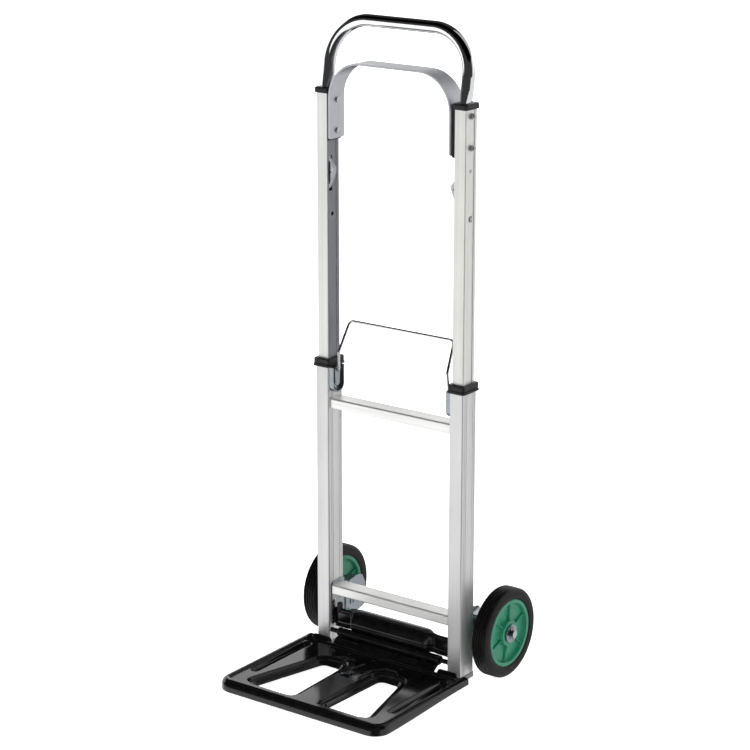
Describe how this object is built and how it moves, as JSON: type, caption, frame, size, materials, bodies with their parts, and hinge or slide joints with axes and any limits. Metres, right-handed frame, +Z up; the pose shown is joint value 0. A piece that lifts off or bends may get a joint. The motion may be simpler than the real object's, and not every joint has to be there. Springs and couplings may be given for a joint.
{
  "type": "folding hand truck",
  "caption": "Upright two-wheel hand truck with a telescoping handle, a folding toe plate and wheels that swing in behind the frame.",
  "frame": {"origin": "on the floor under the middle of the whole truck's box, standing with the toe plate down, the wheels out and the handle up", "axes": "+Z up along the rails; +X to the right seen from the toe plate, along the wheels' axis; +Y from the toe plate towards the wheels"},
  "size_m": [0.39, 0.407, 1.0685],
  "materials": {
    "rail_aluminium": "satin anodised extrusion with fine lines along it",
    "strip_aluminium": "satin flat strip",
    "chrome": "bright chrome plate",
    "black_plastic": "moulded, low sheen",
    "grey_plastic": "moulded, low sheen",
    "black_paint": "gloss black stove enamel on pressed sheet",
    "zinc_plate": "bright zinc plate with a bluish cast",
    "bright_steel": "bright plated steel",
    "spring_steel": "plated spring strip and wire",
    "green_plastic": "moulded, semi-gloss",
    "tyre_rubber": "solid rubber with grooved tread",
    "nylon": "plain bearing bush",
    "black_rubber": "soft bumper"
  },
  "bodies": {
    "frame": {"left_outer_rail": "rail_aluminium", "right_outer_rail": "rail_aluminium", "upper_rung": "rail_aluminium", "lower_rung": "rail_aluminium", "crossmember": "black_paint", "stop_knob": "black_rubber", "left_foot_cap": "grey_plastic", "right_foot_cap": "grey_plastic", "left_lower_collar": "black_plastic", "right_lower_collar": "black_plastic", "left_latch_housing": "zinc_plate", "right_latch_housing": "zinc_plate", "left_latch_spring": "spring_steel", "right_latch_spring": "spring_steel", "latch_rivets": "bright_steel", "bracket_rivets": "bright_steel", "left_hinge_bracket": "zinc_plate", "right_hinge_bracket": "zinc_plate", "left_hinge_pin": "bright_steel", "right_hinge_pin": "bright_steel", "toe_hinge_rod": "black_paint"},
    "handle": {"left_inner_rail": "rail_aluminium", "right_inner_rail": "rail_aluminium", "left_glide": "black_plastic", "right_glide": "black_plastic", "left_top_collar": "black_plastic", "right_top_collar": "black_plastic", "chrome_handle": "chrome", "arch_brace": "strip_aluminium", "brace_bolts": "bright_steel", "brace_nuts": "bright_steel", "left_catch_spring": "spring_steel", "right_catch_spring": "spring_steel", "catch_rivets": "bright_steel"},
    "bail": {"release_bail": "chrome", "left_latch_lever": "zinc_plate", "right_latch_lever": "zinc_plate"},
    "left_pin": {"left_latch_pin": "bright_steel"},
    "right_pin": {"right_latch_pin": "bright_steel"},
    "toe": {"toe_plate": "black_paint"},
    "left_carrier": {"left_wheel_carrier": "zinc_plate", "left_wheel_axle": "bright_steel", "left_axle_spacer": "zinc_plate", "left_axle_washer": "zinc_plate", "left_split_pin": "bright_steel"},
    "left_wheel": {"left_tyre": "tyre_rubber", "left_wheel_hub": "green_plastic", "left_wheel_bush": "nylon"},
    "right_carrier": {"right_wheel_carrier": "zinc_plate", "right_wheel_axle": "bright_steel", "right_axle_spacer": "zinc_plate", "right_axle_washer": "zinc_plate", "right_split_pin": "bright_steel"},
    "right_wheel": {"right_tyre": "tyre_rubber", "right_wheel_hub": "green_plastic", "right_wheel_bush": "nylon"}
  },
  "joints": [
    {"name": "handle_slide", "type": "slide", "parent": "frame", "child": "handle", "axis": [0, 0, 1], "range_m": [-0.28, 0]},
    {"name": "bail_swing", "type": "hinge", "parent": "frame", "child": "bail", "pos_m": [0, 0.0575, 0.488], "axis": [1, 0, 0], "range_deg": [0, 16], "stiffness_Nm_per_rad": 1, "springref_deg": -11.46},
    {"name": "left_latch", "type": "slide", "parent": "frame", "child": "left_pin", "axis": [1, 0, 0], "range_m": [0, 0.0026]},
    {"name": "right_latch", "type": "slide", "parent": "frame", "child": "right_pin", "axis": [-1, 0, 0], "range_m": [0, 0.0026]},
    {"name": "toe_fold", "type": "hinge", "parent": "frame", "child": "toe", "pos_m": [0, 0.0485, 0.034], "axis": [-1, 0, 0], "range_deg": [0, 90]},
    {"name": "left_wheel_fold", "type": "hinge", "parent": "frame", "child": "left_carrier", "pos_m": [-0.121, 0.0875, 0.075], "axis": [0, 0, -1], "range_deg": [0, 90]},
    {"name": "right_wheel_fold", "type": "hinge", "parent": "frame", "child": "right_carrier", "pos_m": [0.121, 0.0875, 0.075], "axis": [0, 0, 1], "range_deg": [0, 90]},
    {"name": "left_wheel_spin", "type": "hinge", "parent": "left_carrier", "child": "left_wheel", "pos_m": [-0.172, 0.1285, 0.075], "axis": [1, 0, 0], "continuous": true},
    {"name": "right_wheel_spin", "type": "hinge", "parent": "right_carrier", "child": "right_wheel", "pos_m": [0.172, 0.1285, 0.075], "axis": [1, 0, 0], "continuous": true}
  ],
  "couplings": [
    {"joint": "left_wheel_fold", "follows": "toe_fold", "ratio": 1},
    {"joint": "right_wheel_fold", "follows": "toe_fold", "ratio": 1},
    {"joint": "left_latch", "follows": "bail_swing", "m_per_rad": 0.009},
    {"joint": "right_latch", "follows": "bail_swing", "m_per_rad": 0.009}
  ]
}
